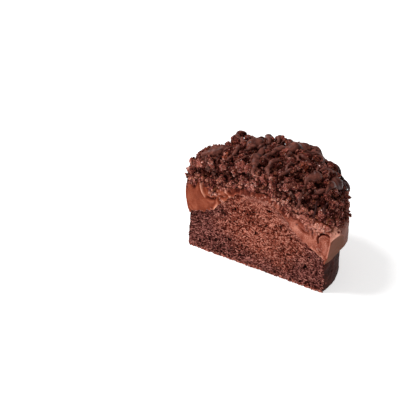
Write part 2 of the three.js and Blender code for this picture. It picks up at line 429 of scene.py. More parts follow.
skin = drift(points, 3.2, 61) + 0.5 * drift(points, 1.4, 62) + 0.3 * drift(points, 0.9, 63)
_, skin_middle, skin_number = grains(swirl(points, 1.0, 0.4, 65), SKIN_PITS, 71)
skin_pit = (1 - ease(skin_middle, 0.2, 0.8)) * (skin_number < SKIN_PIT_SHARE)
skin_depth = 0.15 - SKIN_RELIEF * skin + SKIN_PIT_DEPTH * skin_pit
inward = on_cut * cut_depth + (1 - on_cut) * (1 - on_foot) * skin_depth
moved_brownie = points - normals * inward[:, None]
foot_lift = on_foot * (FOOT_WAVE + FOOT_WAVE * drift(points, 2.2, 81))
moved_brownie[:, 2] = np.maximum(moved_brownie[:, 2] + foot_lift, 0.0)
write_points(brownie_mesh, moved_brownie)

# Painted shade: the cut is darker the deeper its pores and tears go, and the skin is darker in its pits.
hollow = on_cut * np.clip((cut_depth - 0.3) / 1.0, 0, 1)
hollow += (1 - on_cut) * np.clip(0.3 + skin_depth, 0, 1)
tag(brownie_mesh, "hollow", hollow)
tag(brownie_mesh, "cut", on_cut)
tag(brownie_mesh, "heart", heart_share(points))
tag(brownie_mesh, "smeared", smeared)

brownie_finish, start, place = new_finish("torn_brownie")


def read_tag(start, name):
    return start.node("ShaderNodeAttribute", {"attribute_name": name}, out=2)


def mix(start, amount, first, second):
    """One colour over another by an amount."""
    settings = {"data_type": "RGBA", "clamp_factor": True}
    return start.node("ShaderNodeMix", settings, {0: amount, 6: first, 7: second}, out=2)


def clouds(start, place, scale, detail=3.0, roughness=0.55):
    """Shader noise, from 0 to 1, with a scale in swells for each millimetre."""
    sockets = {"Vector": place, "Scale": scale, "Detail": detail, "Roughness": roughness}
    return start.node("ShaderNodeTexNoise", {}, sockets)


def ramp(start, amount, stops):
    """A colour for each amount, through a row of colours."""
    return start.node("ShaderNodeValToRGB", {"stops": stops}, {"Fac": amount})


def rough_bump(start, height, strength, distance):
    sockets = {"Height": height, "Strength": strength, "Distance": distance * MM}
    return start.node("ShaderNodeBump", {}, sockets)


painted_shade_and_tone_tag = read_tag(start, "hollow")
drawn_out = start.node(
    "ShaderNodeMapping", {}, {"Vector": place, "Rotation": (0.0, 0.7, 0.0), "Scale": (0.45, 1.0, 1.25)}
)
fine_noise = clouds(start, place, 1.7)
flake_noise = clouds(start, drawn_out, 1.5, 2.0)
# How dark the cut is: painted shade in its pores and tears, with the fibres' own tone.
darkness = painted_shade_and_tone_tag * 1.15 + (fine_noise - 0.5) * 1.3 + (0.5 - flake_noise) * 1.7
heart_stops = [
    (0.0, paint(212, 140, 120)),
    (0.25, paint(166, 88, 68)),
    (0.5, paint(116, 42, 26)),
    (0.75, paint(66, 15, 7)),
    (1.0, paint(24, 5, 2)),
]
edge_stops = [
    (0.0, paint(176, 112, 102)),
    (0.25, paint(122, 64, 57)),
    (0.5, paint(70, 24, 19)),
    (0.75, paint(46, 12, 8)),
    (1.0, paint(20, 5, 3)),
]
skin_stops = [(0.0, paint(84, 38, 29)), (0.5, paint(54, 21, 15)), (1.0, paint(22, 6, 4))]
# The skin is darker in its pits and hollows: painted shade.
skin_colour = ramp(start, painted_shade_and_tone_tag + fine_noise - 0.5, skin_stops)
heart_tag = read_tag(start, "heart")
edge_colour = ramp(start, darkness, edge_stops)
cut_colour = mix(start, heart_tag, edge_colour, ramp(start, darkness, heart_stops))
# Pale specks where the flake noise peaks: painted highlights in place of the moist crumb's glints.
cut_colour = mix(start, (flake_noise - 0.6) * 6.0, cut_colour, paint(222, 156, 136))
smear_stops = [(0.0, paint(84, 30, 21)), (0.5, paint(146, 80, 66)), (1.0, paint(224, 160, 142))]
# The smear is darker in the hollows too, as painted shade.
smear_light = (fine_noise - 0.5) * 2.2 + (flake_noise - 0.5) * 1.2 + 0.62 - painted_shade_and_tone_tag * 0.7
smear_tag = read_tag(start, "smeared")
cut_colour = mix(start, smear_tag * SMEAR_COVERS, cut_colour, ramp(start, smear_light, smear_stops))
coat(
    start,
    {
        "Base Color": mix(start, read_tag(start, "cut"), skin_colour, cut_colour),
        "Roughness": 0.55 + 0.25 * fine_noise,
        "Specular IOR Level": 0.06,
        "Normal": rough_bump(start, clouds(start, place, 3.0), 0.6, 0.25),
    },
)
brownie = new_piece("brownie_cake", brownie_mesh, brownie_finish)
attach(brownie, "root")
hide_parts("brownie")


# ---- The brownie's flakes -----------------------------------------------------------------------------
# Crumbs that the knife has dragged out of the cake. They cling to the cut all over, each lying its own
# way, and more of them lie along its bottom edge.
FLAKES, FOOT_CRUMBS = 4200, 240
FLAKE_SIZES = (0.22, 0.5)
FOOT_CRUMB_SIZES = (0.25, 0.75)
FLAKE_TURNS = (-0.5, 0.8)
FLAKE_SHADES = (0.0, 0.55)
FOOT_REDDER = 0.6
# The knife, the ring and the heap's top: how far crumbs may stand out past them before they are pressed
# back, and the share of the rest that still stands out.
KNIFE_LEEWAY, KNIFE_GIVE = 0.55, 0.2
RING_BACK = 23.2
HEAP_TOP, TOP_GIVE = 55.4, 0.45
# Where a ray into the cut starts before it, and how long it is.
BEFORE_CUT, INTO_CAKE = 5.0, 8.0
rng = np.random.default_rng(5116)


def ball(rounds):
    """The corners and faces of an even ball."""
    shell = bmesh.new()
    bmesh.ops.create_icosphere(shell, subdivisions=rounds, radius=1.0)
    corners = np.array([corner.co for corner in shell.verts])
    faces = np.array([[corner.index for corner in face.verts] for face in shell.faces])
    shell.free()
    return corners, faces


def trimmed(points):
    """The points, with what would stand out past the knife's cut, the ring's back or the heap's top pressed
    back to it."""
    past = np.minimum(points[:, 1] - CUT_PLANE + KNIFE_LEEWAY, 0)
    past += np.maximum(points[:, 1] - RING_BACK, 0)
    points[:, 1] -= past * (1 - KNIFE_GIVE)
    points[:, 2] -= np.maximum(points[:, 2] - HEAP_TOP, 0) * (1 - TOP_GIVE)
    return points


def joined(name, shapes, faces, places, sizes, tags, material, smooth=True):
    """One piece of many crumbs at their places, with numbers of each kind for every crumb or every corner."""
    count, corners = shapes.shape[:2]
    points = trimmed((shapes * sizes[:, None, None] + places[:, None, :]).reshape(-1, 3))
    points[:, 2] = np.maximum(points[:, 2], 0)
    all_faces = (faces[None] + (np.arange(count) * corners)[:, None, None]).reshape(-1, 3)
    mesh = bpy.data.meshes.new(name)
    mesh.from_pydata(points * MM, [], all_faces)
    write_points(mesh, points, smooth)
    for kind, values in tags.items():
        tag(mesh, kind, values.ravel() if values.ndim > 1 else np.repeat(values, corners))
    piece = new_piece(name, mesh, material)
    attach(piece, "root")
    return piece, points, all_faces


def flake_shapes(count):
    """Small angular flakes, longer than thick, each turned its own way in the cut."""
    corners, faces = ball(1)
    shapes = corners[None] * rng.uniform(0.7, 1.25, (count, len(corners), 1))
    shapes = shapes * rng.uniform((1.2, 0.6, 0.45), (2.1, 0.9, 0.8), (count, 3))[:, None]
    turn = rng.normal(*FLAKE_TURNS, count)
    cos, sin = np.cos(turn)[:, None], np.sin(turn)[:, None]
    across = shapes[..., 0] * cos - shapes[..., 2] * sin
    up = shapes[..., 0] * sin + shapes[..., 2] * cos
    return np.stack([across, shapes[..., 1], up], 2), faces


brownie_tree = tree_of(moved_brownie, faces_of(brownie_mesh))
low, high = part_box("brownie")
tried = rng.uniform((low.x / MM, low.z / MM), (high.x / MM, high.z / MM), (FLAKES * 2, 2))
places = []
for x, z in tried:
    spot = brownie_tree.ray_cast(Vector((x, CUT_PLANE - BEFORE_CUT, z)), INTO_CUT, INTO_CAKE)[0]
    if spot is not None and len(places) < FLAKES:
        places.append(spot)
sizes = rng.uniform(*FLAKE_SIZES, len(places))
foot_sizes = rng.uniform(*FOOT_CRUMB_SIZES, FOOT_CRUMBS)
foot_places = np.stack(
    [
        rng.uniform(low.x / MM + 0.8, high.x / MM - 0.8, FOOT_CRUMBS),
        CUT_PLANE + rng.uniform(-0.1, 0.8, FOOT_CRUMBS),
        foot_sizes * rng.uniform(0.4, 1.4, FOOT_CRUMBS),
    ],
    1,
)
places = np.concatenate([np.array(places), foot_places])
sizes = np.concatenate([sizes, foot_sizes])
shapes, faces = flake_shapes(len(places))
at_foot = np.arange(len(places)) >= len(sizes) - FOOT_CRUMBS
flake_tags = {
    "hollow": rng.uniform(*FLAKE_SHADES, len(places)),
    "cut": np.ones(len(places)),
    "heart": np.clip(heart_share(places) + FOOT_REDDER * at_foot, 0, 1),
    "smeared": smear_share(places),
}
flakes = joined("cake_flakes", shapes, faces, places, sizes, flake_tags, brownie_finish, smooth=False)[0]


# ---- The mousse ---------------------------------------------------------------------------------------
# A soft set chocolate mousse, spooned over the dome till it fills the ring. Its wall is smoothed with a
# knife and has a dull skin; the cut drags it into ridges and folds, and mixes it with crumbs at its top.
MOUSSE_VOXEL = 0.45
# How far in and out the knife's fine streaks on the cut and the top's swells go.
STREAK = 0.05
TOP_SWELL = 0.5
# The waves that the knife left round the wall: how far in and out, how long and how high.
WALL_WAVE, WAVE_LENGTH, WAVE_HEIGHT = 0.2, 11, 2.6
WALL_RADIUS = 40
# The near corner of the wall starts this far across.
NEAR_CORNER = 30.0
# The flat place that the knife left on the wall at the near corner: the turn, height and radius of the top
# of its edge, how much it leans in downwards, and how wide the painted highlight along its edge is.
FACET_TURN, FACET_TOP, FACET_RADIUS = math.radians(4), 28.5, 43.2
FACET_LEAN = 0.2
FACET_EDGE_HIGHLIGHT = 0.3
# How high the flat place reaches, from turn to turn in degrees.
FACET_TURNS, FACET_HEIGHTS = (7, 12, 16, 20, 23, 26), (28.5, 27.0, 24.5, 21.0, 17.0, 10.0)
# How far the mousse sinks into the brownie, and how much farther where its crumb is open.
MOUSSE_SINK, MOUSSE_SINK_MORE = 0.45, 1.3
# Places with no other solid near them count as this far from it.
FAR = 9.0
# How far down crumbs are mixed into it, and how much farther near the right of the cut.
MIXED_REACH, MIXED_MORE = 2.8, 3.4
LUMP_SIZE, SMALL_LUMP_SIZE = 2.1, 0.9
# Small burst bubbles: how far apart, how many of the places have one, and how deep.
BUBBLE_SPACING, BUBBLE_SHARE, BUBBLE_DEPTH = 3.4, 0.15, 0.3
# The ridges that the knife pulled up, and the grooves, which are less than 0 high: width, height, pixels.
MOUSSE_RIDGES = (
    (0.7, 0.9, ((200, 180), (200.5, 186), (202, 191), (205, 196))),
    (0.45, 0.7, ((217, 180), (218.5, 186), (220, 191))),
    (0.6, 0.9, ((222, 181), (224, 187), (226, 192), (230, 196))),
    (0.5, 0.7, ((208, 190), (213, 192), (218, 196), (222, 199))),
    (0.6, 0.8, ((216.5, 198), (217, 202), (215, 205), (211, 208), (207, 210))),
    (0.6, -0.8, ((218.5, 200), (219, 204), (216, 208), (211, 211))),
    (1.0, 0.8, ((220, 202), (224, 201), (228, 202), (231, 205))),
    (0.7, -0.9, ((207, 197), (211, 199), (216, 198))),
    (0.6, 0.8, ((222, 199), (228, 197), (234, 194), (240, 192))),
    (0.5, 0.6, ((190, 206), (192, 209), (198, 211), (204, 211))),
    (1.5, 0.22, ((298, 213), (296, 218), (293.5, 223), (295, 227), (300, 231.5), (305, 235.5), (309, 240))),
    (0.5, 0.6, ((286, 208), (291, 212), (295, 218))),
    (0.5, -1.2, ((318, 243), (317.5, 239), (319, 236), (322, 234.5), (326, 235), (329, 237))),
    (0.5, -0.6, ((313, 238), (312, 234), (314, 230), (318, 229))),
    (0.6, -0.5, ((300, 228), (304, 232), (309, 234))),
    (1.6, 0.35, ((321, 239), (325, 244), (327, 250), (327, 256))),
    (0.45, 0.7, ((331, 239), (330, 246), (329, 252), (327, 258))),
    (0.5, 0.6, ((312, 247), (317, 251), (322, 254.5), (325, 259))),
)
# The small groove on both sides of each ridge: how far off in the ridge's widths, how wide and how deep.
BESIDE_RIDGE, GROOVE_WIDTH, GROOVE_DEPTH = 1.9, 0.6, 0.35
# Along the cut the mousse stands higher than its solid here and there: where across, and how much.
SEAM_LIFT_ACROSS = (-27.0, -19.0, -13.0, -6.0, 4.0, 12.0, 18.0)
SEAM_LIFTS = (2.2, 0.0, 0.0, 1.4, 2.0, 1.4, 0.0)
# The mousse smeared over the top of the wall at the near corner: its turn and heights, and how thick it is.
CORNER_TURN, CORNER_LOW, CORNER_HIGH = math.radians(7.5), 28.6, 34.0
CORNER_THICK = 0.7


def cut_place(pixel):
    """Where a pixel of the photograph lies on the cut, across and up."""
    place = eye_place + sight(pixel) * ((CUT_PLANE - eye_place.y) / sight(pixel).y)
    return np.array([place.x, place.z])


def curve_through(corners, step):
    """An even row of points on a smooth curve through the corners."""
    corners = np.asarray(corners, float)
    ends = np.concatenate([[2 * corners[0] - corners[1]], corners, [2 * corners[-1] - corners[-2]]])
    row = []
    for a, b, c, d in zip(ends, ends[1:], ends[2:], ends[3:]):
        for t in np.linspace(0, 1, 12, endpoint=False):
            bend = (2 * a - 5 * b + 4 * c - d) * t**2 + (3 * b - 3 * c + d - a) * t**3
            row.append(0.5 * (2 * b + (c - a) * t + bend))
    row = np.array(row + [corners[-1]])
    gone = np.concatenate([[0], np.cumsum(np.linalg.norm(np.diff(row, axis=0), axis=1))])
    even = np.linspace(0, gone[-1], max(4, int(gone[-1] / step)))
    return np.stack([np.interp(even, gone, column) for column in row.T], 1)


def seam_lift(across):
    """How much higher the mousse's seam with the heap is on the cut than its solid has it."""
    return np.interp(across, SEAM_LIFT_ACROSS, SEAM_LIFTS)


def ridge(flat, pixels, width):
    """A ridge's height from 0 to 1 along a row of pixels, with a small groove on both sides."""
    crest = curve_through([cut_place(pixel) for pixel in pixels], 0.4)
    gaps = np.linalg.norm(flat[:, None] - crest[None], axis=2)
    nearest = gaps.argmin(1)
    away = gaps.min(1) / width
    fade = np.sin(math.pi * (0.12 + 0.76 * nearest / (len(crest) - 1))) ** 0.7
    groove = GROOVE_DEPTH * np.exp(-((away - BESIDE_RIDGE) ** 2) / GROOVE_WIDTH)
    return fade * (np.exp(-(away**2)) - groove)


def gap_to(node, points, reach):
    """How far each place is from a solid of the frame, and the way to it; past the reach, far and no way."""
    tree = solid_tree(node)
    found = [tree.find_nearest(Vector(point), reach) for point in points]
    spots = np.array([np.array(hit[0]) if hit[0] is not None else np.full(3, np.inf) for hit in found])
    gap = np.linalg.norm(spots - points, axis=1)
    ways = np.where(np.isfinite(gap)[:, None], spots - points, 0) / np.clip(gap, 1e-6, reach)[:, None]
    return np.minimum(gap, FAR), ways


mousse_mesh = fine_mesh("mousse", MOUSSE_VOXEL)
points = read_points(mousse_mesh)
normals = read_normals(mousse_mesh)
on_cut = cut_share(points, normals)
near_cut = ease(-points[:, 1], -CUT_PLANE - 5.0, -CUT_PLANE - 1.0)
gap, towards = gap_to("brownie", points, 4.0)
open_crumb = ease(drift(points, 2.4, 141) + 0.4 * drift(points, 0.9, 142), -0.6, 1.1)
sink = (MOUSSE_SINK + near_cut * MOUSSE_SINK_MORE * open_crumb) * (1 - ease(gap, 0.5, 2.6))
turn = np.arctan2(points[:, 1] - TART_CENTRE[1], points[:, 0] - TART_CENTRE[0])
at_corner = points[:, 0] > NEAR_CORNER
on_wall = ease(normals[:, 0] ** 2 + normals[:, 1] ** 2, 0.35, 0.8) * (1 - on_cut)
on_top = (1 - on_cut) * (1 - on_wall) * ease(normals[:, 2], 0.2, 0.7)

flat = points[:, [0, 2]]
front = np.flatnonzero(on_cut > 0.02)
ridges = np.zeros(len(points))
for width, height, pixels in MOUSSE_RIDGES:
    ridges[front] += height * ridge(flat[front], pixels, width)
streaks = drift(swirl(flat, 4.0, 1.6, 100) / np.array([2.2, 7.0]), 1.0, 101)
heap_gap = gap_to("crumb_topping", points, 6.0)[0]
mixed_reach = MIXED_REACH + MIXED_MORE * ease(points[:, 0], 8.0, 20.0) * (1 - ease(points[:, 0], 27.0, 36.0))
mixed = 1 - ease(heap_gap + 1.4 * drift(points, 2.6, 151), 0.35 * mixed_reach, mixed_reach)
mixed *= 1 - 0.5 * ease(points[:, 0], -22.0, -14.0) * (1 - ease(points[:, 0], 4.0, 12.0))
lump_seam, _, lump_number = grains(swirl(points, 1.2, 0.5, 161), LUMP_SIZE, 163)
small_seam = grains(swirl(points, 0.8, 0.3, 165), SMALL_LUMP_SIZE, 167)[0]
lumps = 1.2 * ease(lump_seam, 0.0, 0.8) * lump_number + 0.4 * ease(small_seam, 0.0, 0.4) - 1.3
wall_place = np.stack([turn * WALL_RADIUS / WAVE_LENGTH, points[:, 2] / WAVE_HEIGHT], 1)
wall_waves = drift(wall_place, 1.0, 111) + 0.35 * drift(wall_place * 2.3, 1.0, 112)
_, bubble_middle, bubble_number = grains(points, BUBBLE_SPACING, 121)
bubble = (1 - ease(bubble_middle, 0.15, 0.5)) * (bubble_number < BUBBLE_SHARE) * (1 - on_cut)
relief = on_cut * (STREAK * streaks + ridges + mixed * lumps) + on_wall * WALL_WAVE * wall_waves
relief += on_top * TOP_SWELL * drift(points, 2.0, 131) - BUBBLE_DEPTH * bubble - 0.1
corner = (1 - on_cut) * (1 - ease(turn + 0.04 * drift(points, 1.6, 171), 0.8 * CORNER_TURN, CORNER_TURN))
corner *= ease(points[:, 2] + 0.5 * drift(points, 1.5, 173), CORNER_LOW - 0.3, CORNER_LOW + 0.5)
corner_top = CORNER_HIGH - 1.5 * ease(np.degrees(turn), 0.0, 7.0) + 1.4 * drift(points, 1.6, 179)
corner *= at_corner * (1 - ease(points[:, 2], corner_top - 0.6, corner_top + 0.3))
relief += CORNER_THICK * corner * (0.6 + 0.7 * drift(points, 1.6, 175) + 0.4 * drift(points, 0.8, 176))
moved_mousse = trimmed(points + normals * relief[:, None] + towards * sink[:, None])
lift_share = near_cut * (1 - ease(heap_gap, 0.4, 4.5)) * ease(gap, 0.2, 1.4)
moved_mousse[:, 2] += seam_lift(points[:, 0]) * lift_share
flat_out = FACET_RADIUS - FACET_LEAN * (FACET_TOP - points[:, 2])
flat_out = flat_out / np.maximum(np.cos(turn - FACET_TURN), 0.5)
facet_up = np.interp(np.degrees(turn), FACET_TURNS, FACET_HEIGHTS)
in_facet = (points[:, 2] < facet_up) & at_corner
new_out = np.hypot(moved_mousse[:, 1] - TART_CENTRE[1], moved_mousse[:, 0] - TART_CENTRE[0])
shrink = np.where(in_facet & (new_out > flat_out), flat_out / new_out, 1.0)
moved_mousse[:, :2] = TART_CENTRE + (moved_mousse[:, :2] - TART_CENTRE) * shrink[:, None]
write_points(mousse_mesh, moved_mousse)
mousse_tree = tree_of(moved_mousse, faces_of(mousse_mesh))
tag(mousse_mesh, "cut", np.maximum(np.maximum(on_cut, 1 - on_wall), corner))
paler = 0.05 * ease(points[:, 0], 5.0, 20.0)
# Lighter on the knife's ridges and lumps and darker in the grooves: painted highlight and painted shade over
# the mousse's own tone.
lightness = 0.42 + on_cut * (0.14 * streaks + 0.6 * ridges + 0.5 * mixed * (lumps + 0.6) + paler)
lightness += (1 - on_cut) * (0.14 * wall_waves + 0.2 - 0.3 * in_facet)
# A painted highlight along the top edge of the flat place at the near corner.
facet_edge_highlight = (1 - on_cut) * at_corner * (turn > 0)
facet_edge_highlight = facet_edge_highlight * np.exp(-(((points[:, 2] - facet_up) / FACET_EDGE_HIGHLIGHT) ** 2))
lightness += 0.4 * facet_edge_highlight + 0.34 * corner * (0.8 + 0.8 * drift(points, 1.2, 177))
lightness -= 0.16 * on_cut * ease(points[:, 0], -16.0, -10.0) * (1 - ease(points[:, 0], 6.0, 14.0))
tag(mousse_mesh, "streak", lightness)
pinker = 0.1 + 0.4 * ease(points[:, 0], -18.0, -8.0)
tag(mousse_mesh, "mixed", np.maximum(on_cut * np.maximum(mixed, pinker), 0.6 * corner))
# Painted shade: the mousse is darkened in its bubbles, on its top under the heap, and between the lumps on
# the cut.
under_heap = on_top * (1 - ease(heap_gap, 0.6, 2.4)) * (1 - corner)
between_lumps = on_cut * mixed * ease(-lumps, 0.7, 1.3)
tag(mousse_mesh, "hollow", np.maximum(np.maximum(bubble, under_heap), between_lumps))

mousse_finish, start, place = new_finish("chocolate_mousse")
mottle = clouds(start, place, 0.22)
fine_noise = clouds(start, place, 2.0)
cut_stops = [
    (0.0, paint(80, 22, 9)),
    (0.42, paint(132, 58, 34)),
    (0.65, paint(162, 84, 58)),
    (1.0, paint(226, 156, 128)),
]
mixed_stops = [
    (0.0, paint(66, 18, 12)),
    (0.35, paint(122, 54, 42)),
    (0.6, paint(164, 92, 76)),
    (1.0, paint(226, 158, 140)),
]
wall_stops = [
    (0.0, paint(84, 48, 32)),
    (0.35, paint(108, 62, 41)),
    (0.7, paint(112, 64, 51)),
    (1.0, paint(150, 98, 82)),
]
# The lightness carries the painted highlights and painted shade worked out on the mesh.
lightness = read_tag(start, "streak") + (mottle - 0.5) * 0.7 + (fine_noise - 0.5) * 0.2
mixed_lightness = read_tag(start, "streak") * 1.2 + (fine_noise - 0.5) * 1.2
smooth_colour = ramp(start, lightness, cut_stops)
cut_colour = mix(start, read_tag(start, "mixed"), smooth_colour, ramp(start, mixed_lightness, mixed_stops))
body_colour = mix(start, read_tag(start, "cut"), ramp(start, lightness, wall_stops), cut_colour)
# The painted shade darkens the body towards a deep red-brown.
coat(
    start,
    {
        "Base Color": mix(start, read_tag(start, "hollow") * 0.9, body_colour, paint(66, 18, 10)),
        "Roughness": 0.45 + 0.2 * fine_noise,
        "Specular IOR Level": 0.06,
        "Subsurface Weight": 0.06,
        "Subsurface Radius": (0.9, 0.4, 0.25),
        "Subsurface Scale": 1.2 * MM,
        "Normal": rough_bump(start, clouds(start, place, 1.4), 0.25, 0.2),
    },
)
mousse = new_piece("mousse_layer", mousse_mesh, mousse_finish)
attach(mousse, "root")
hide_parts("mousse")


# ---- The crumb heap's core ----------------------------------------------------------------------------
# The imported inside of the heap, whose crumbs have stuck together with chocolate. It only shows as the
# bottom of the gaps between the loose crumbs, darkened with painted shade the deeper it lies.
CORE_VOXEL = 0.75
CORE_DEPTH = 1.9
CORE_CRUMB, CORE_GRAIN = 2.6, 1.2
CORE_UNEVEN = 0.9
# The heap has slumped inwards at the top of its far right shoulder: how far, and from where out and up.
SLUMP = 3.2
SLUMP_WAY = np.array([math.cos(EYE_AZIMUTH), math.sin(EYE_AZIMUTH)])
SLUMP_OUT, SLUMP_UP = (26.0, 41.0), (34.0, 49.0)


def slumped(points):
    """The places on the heap's solid, moved to where the slumped heap has them."""
    out = (points[:, :2] - TART_CENTRE) @ SLUMP_WAY
    pull = SLUMP * ease(out, *SLUMP_OUT) * ease(points[:, 2], *SLUMP_UP)
    return np.concatenate([points[:, :2] - pull[:, None] * SLUMP_WAY, points[:, 2:]], 1)


heap_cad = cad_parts["crumb_topping"].data
heap_corners = slumped(read_points(heap_cad))
heap_faces = np.array([face[:3] for face in faces_of(heap_cad)])
heap_skin = tree_of(heap_corners, heap_faces)

core_mesh = fine_mesh("crumb_topping", CORE_VOXEL)
points = slumped(read_points(core_mesh))
normals = read_normals(core_mesh)
on_under = ease(-normals[:, 2], 0.2, 0.6)
core_seam, _, core_number = grains(points, CORE_CRUMB, 201)
fine_seam, _, fine_number = grains(points, CORE_GRAIN, 211)
sunk = CORE_DEPTH + (1 - ease(core_seam, 0.0, 0.9)) + CORE_UNEVEN * core_number
sunk += 0.4 * (1 - ease(fine_seam, 0.0, 0.4)) - CORE_UNEVEN
mousse_gaps = np.array([mousse_tree.find_nearest(Vector(point), 4.0)[3] or 4.0 for point in points])
sunk *= 0.35 + 0.65 * ease(mousse_gaps, 0.5, 3.5)
core_points = points - normals * (sunk * (1 - on_under))[:, None]
write_points(core_mesh, core_points)
# Painted shade, darker the deeper the core is sunk.
tag(core_mesh, "hollow", np.clip((sunk - 0.8) / 1.6, 0, 1))
tag(core_mesh, "tint", 0.3 * core_number + 0.25 * fine_number)

crumb_finish, start, place = new_finish("chocolate_crumb")
fine_noise = clouds(start, place, 2.2, 2.0)
painted_glint_noise = clouds(start, place, 1.1, 2.0)
tint_stops = [
    (0.0, paint(54, 15, 11)),
    (0.3, paint(124, 55, 45)),
    (0.6, paint(172, 94, 80)),
    (0.85, paint(214, 142, 124)),
    (1.0, paint(236, 178, 162)),
]
tint_colour = ramp(start, read_tag(start, "tint") * 0.9 + 0.06 + (fine_noise - 0.5) * 1.3, tint_stops)
tan_noise = clouds(start, place, 0.55, 1.0)
tint_colour = mix(start, (tan_noise - 0.56) * 4.0, tint_colour, paint(150, 92, 58))
tint_colour = mix(start, (0.42 - tan_noise) * 4.0, tint_colour, paint(120, 52, 52))
tint_colour = mix(start, read_tag(start, "smear"), tint_colour, paint(196, 122, 100))
tint_colour = mix(start, read_tag(start, "toasted"), tint_colour, paint(176, 84, 54))
# Pale specks: painted glints on the crumbs.
tint_colour = mix(start, (painted_glint_noise - 0.66) * 7.0, tint_colour, paint(232, 180, 168))
painted_shade_and_tone_tag = read_tag(start, "hollow")
# The painted shade darkens the crumbs towards a near black-red.
coat(
    start,
    {
        "Base Color": mix(start, painted_shade_and_tone_tag, tint_colour, paint(44, 7, 3)),
        "Roughness": 0.35 + 0.4 * fine_noise,
        "Specular IOR Level": 0.04,
        "Coat Weight": (fine_noise - 0.46) * 6.0 * (1.0 - painted_shade_and_tone_tag) * (0.3 + read_tag(start, "tint")),
        "Coat Roughness": 0.22,
        "Normal": rough_bump(start, clouds(start, place, 3.0), 0.7, 0.25),
    },
)
core = new_piece("crumb_heap_core", core_mesh, crumb_finish)
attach(core, "root")
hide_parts("crumb_topping")


# ---- The crumbs of the heap ---------------------------------------------------------------------------
# Chocolate biscuit and brownie crumbs of every size, from fine grains to clumps as big as a pea, heaped on
# the mousse by hand and tumbled over the shoulder. Larger ones go on first and finer ones fill in.
CLUMPS, PIECES, BITS, GRAINS = 122, 820, 3000, 4200
CLUMP_TRIES = 1500
CLUMP_SIZES, PIECE_SIZES, BIT_SIZES, GRAIN_SIZES = (1.7, 3.2), (0.8, 1.7), (0.42, 0.95), (0.22, 0.45)
GRIT = 0.1
SHADE_DEPTHS = (-0.3, 2.0)
CLUMP_LUMPS, CRUMB_LUMPS = (0.12, 0.42), (0.28, 0.62)
TOASTED_SHARE = 0.04
TOASTED_BY = (0.4, 0.9)
# How much lighter crumbs are that the knife has opened, how much the heap's tone drifts from place to place,
# and how dark the painted shade makes the deepest crumbs.
OPENED_LIGHTER, TINT_DRIFT, DEEPEST = 0.16, 0.3, 0.85
# How deep the clumps sit in the heap as a share of their size, and how close to each other they lie.
CLUMP_SINK, MARKED_SINK, CLUMP_CLOSENESS = 0.55, 0.35, 0.75
# Crumbs start to fall this far above the heap's skin.
DROP_HEIGHT = 6.0


def crumb_shapes(count, rounds, lumps, lump_sizes):
    """Crumbs of radius about 1, each a few rounded grains stuck together, and how deep each corner lies, for
    painted shade.
    """
    corners, faces = ball(rounds)
    ways = rng.normal(size=(count, lumps, 3))
    ways /= np.linalg.norm(ways, axis=2, keepdims=True)
    sizes = rng.uniform(*lump_sizes, (count, lumps))
    hearts = ways * rng.uniform(0.5, 0.9, (count, lumps, 1)) * (1 - 0.6 * sizes[..., None])
    along = np.einsum("vk,nlk->nvl", corners, hearts)
    inside = along**2 - (hearts**2).sum(2)[:, None, :] + sizes[:, None, :] ** 2
    reach = np.where(inside > 0, along + np.sqrt(np.maximum(inside, 0)), 0)
    reach = np.maximum(reach.max(2), 0.55) * rng.uniform(1 - GRIT, 1 + GRIT, (count, len(corners)))
    stretch = rng.uniform(0.78, 1.15, (count, 1, 3))
    shape = corners[None] * reach[..., None] * stretch
    return shape, faces, np.clip((0.88 - reach) / 0.36, 0, 1)


corner_sets = heap_corners[heap_faces]
face_crosses = np.cross(corner_sets[:, 1] - corner_sets[:, 0], corner_sets[:, 2] - corner_sets[:, 0])
face_areas = np.linalg.norm(face_crosses, axis=1)
face_normals = face_crosses / np.maximum(face_areas, 1e-9)[:, None]
face_middles = corner_sets.mean(1)
open_areas = face_areas * (face_normals[:, 2] > -0.3)
seam_up = heights_along("mousse", seam_across) + seam_lift(seam_across)


def heap_spots(count):
    """Random places on the heap's outer skin, with the way out."""
    picked = rng.choice(len(heap_faces), count, p=open_areas / open_areas.sum())
    first, second = rng.random((2, count))
    over = first + second > 1
    first = np.where(over, 1 - first, first)
    second = np.where(over, 1 - second, second)
    triangle = corner_sets[picked]
    spots = triangle[:, 0] + first[:, None] * (triangle[:, 1] - triangle[:, 0])
    spots += second[:, None] * (triangle[:, 2] - triangle[:, 0])
    return spots, face_normals[picked]


def only(chosen, *rows):
    """The chosen ones of each row."""
    return [row[chosen] for row in rows]


def clear_of_mousse(places, sizes, share):
    """Which crumbs don't hang down over the mousse by more than a share of their size."""
    gaps = np.array([mousse_tree.find_nearest(Vector(place))[3] for place in places])
    return gaps > share * sizes


def apart(spots, sizes, closeness):
    """Which spots to keep so that no two crumbs are closer than a share of their sizes."""
    kept = []
    for i, spot in enumerate(spots):
        others = np.array(kept, int)
        gaps = np.linalg.norm(spots[others] - spot, axis=1)
        if np.all(gaps > closeness * (sizes[others] + sizes[i])):
            kept.append(i)
    return np.array(kept)


def heap_seen(pixel):
    """The place on the heap's skin that shows at a pixel, or the nearest to it on the line of sight."""
    spot, normal, _, _ = heap_skin.ray_cast(eye_place, sight(pixel))
    if spot is None:
        over_heap = (Vector(face_middles.mean(0)) - eye_place).dot(sight(pixel))
        line = [eye_place + sight(pixel) * (over_heap + step) for step in range(-50, 50)]
        near = [heap_skin.find_nearest(place) for place in line]
        best = min(range(len(line)), key=lambda i: near[i][3])
        spot, normal = line[best], near[best][1]
    return np.array(spot), np.array(normal)


